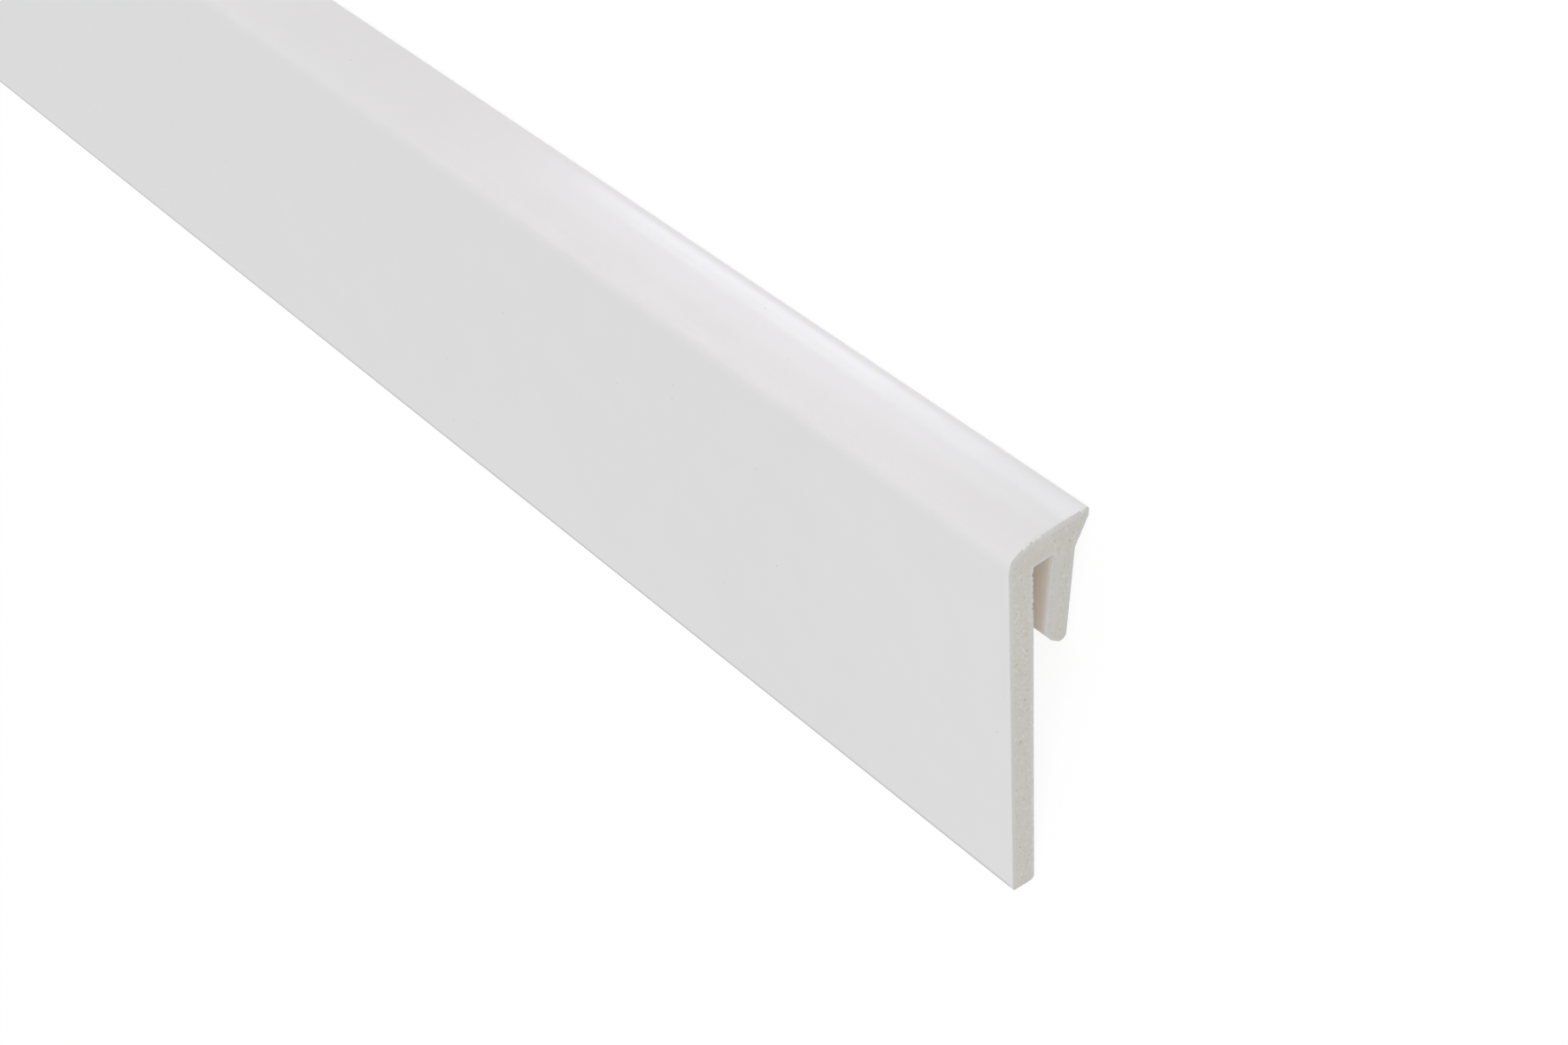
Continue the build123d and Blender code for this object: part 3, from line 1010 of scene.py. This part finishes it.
# %% Lamps along the lip
TOWARDS_LIP = (0, 1, 0)
STRIP_TINT, WARM_TINT = (0.68, 0.755, 1.0), (1.0, 0.90, 0.94)
STRIP_SPREAD = 2.0
STRIP_Z, STRIP_HEIGHT, STRIP_WATTS_PER_METRE = 0.00288, 0.0030, 0.00024
LINE_Z, LINE_HEIGHT, LINE_WATTS_PER_METRE = 0.00210, 0.0014, 0.00014
STRIP_COUNT = 5
# Where each band starts and ends along the board, and how far from the lip it hangs.
STRIPS = list(zip(
    np.linspace(1.292, 1.212, STRIP_COUNT),
    np.linspace(1.123, 1.152, STRIP_COUNT),
    np.linspace(0.07, 0.02, STRIP_COUNT),
))
LINES = [(1.222, 1.140, 0.02), (1.212, 1.150, 0.02)]
# Name, place along the board, height, distance, size, tint, watts and spread.
TOP_GLOWS = [
    ("top_glow_wide", 1.173, 0.0080, 0.30, (0.130, 0.012), WARM_TINT, 0.00050, 10),
    ("top_glow_close", 1.188, 0.0062, 0.04, (0.124, 0.004), STRIP_TINT, 0.00006, 5),
]
bands = [("lip_strip", stretch, STRIP_Z, STRIP_HEIGHT, STRIP_WATTS_PER_METRE) for stretch in STRIPS]
bands += [("lip_line", stretch, LINE_Z, LINE_HEIGHT, LINE_WATTS_PER_METRE) for stretch in LINES]
for name, (near, far, distance), z, height, watts in bands:
    strip = soft_lamp(name, ((near + far) / 2, high.y, z), TOWARDS_LIP, distance, "RECTANGLE",
                      (near - far, height), watts * (near - far), STRIP_TINT, STRIP_SPREAD)
    print(strip.name, "from", round(near, 3), "to", round(far, 3))
for name, x, z, distance, size, tint, watts, spread in TOP_GLOWS:
    soft_lamp(name, (x, high.y, z), TOWARDS_LIP, distance, "ELLIPSE", size, watts, tint, spread)
    print(name, "at", x)

# %% [markdown]
# The camera's place was worked out from the vanishing points of the long edges and from the
# corners of the sawn end. The board lies down here, so the same view of it looks down on the
# floor with the camera turned well over to its side.

# %% Camera
IMAGE_WIDTH, FOCAL_PIXELS, SENSOR = 1772, 3798.65, 36.0
CAMERA_PLACE = (1.509311, 0.251388, 0.275711)
CAMERA_LOOK = (-0.647867, -0.517574, -0.558914)
CAMERA_RIGHT = (0.612436, 0.082403, -0.786214)
camera_data = bpy.data.cameras.new("camera")
camera_data.sensor_fit, camera_data.sensor_width = "HORIZONTAL", SENSOR
camera_data.lens = FOCAL_PIXELS / IMAGE_WIDTH * SENSOR
camera_data.clip_start, camera_data.clip_end = 0.01, 50.0
camera = bpy.data.objects.new("camera", camera_data)
bpy.context.scene.collection.objects.link(camera)
look = Vector(CAMERA_LOOK).normalized()
right = Vector(CAMERA_RIGHT)
right = (right - look * right.dot(look)).normalized()
up = right.cross(look)
turned = Matrix((right, up, -look)).transposed().to_4x4()
camera.matrix_world = Matrix.Translation(CAMERA_PLACE) @ turned
bpy.context.scene.camera = camera
bpy.context.scene.view_settings.view_transform = "Standard"
print("camera lens", round(camera_data.lens, 1), "mm")
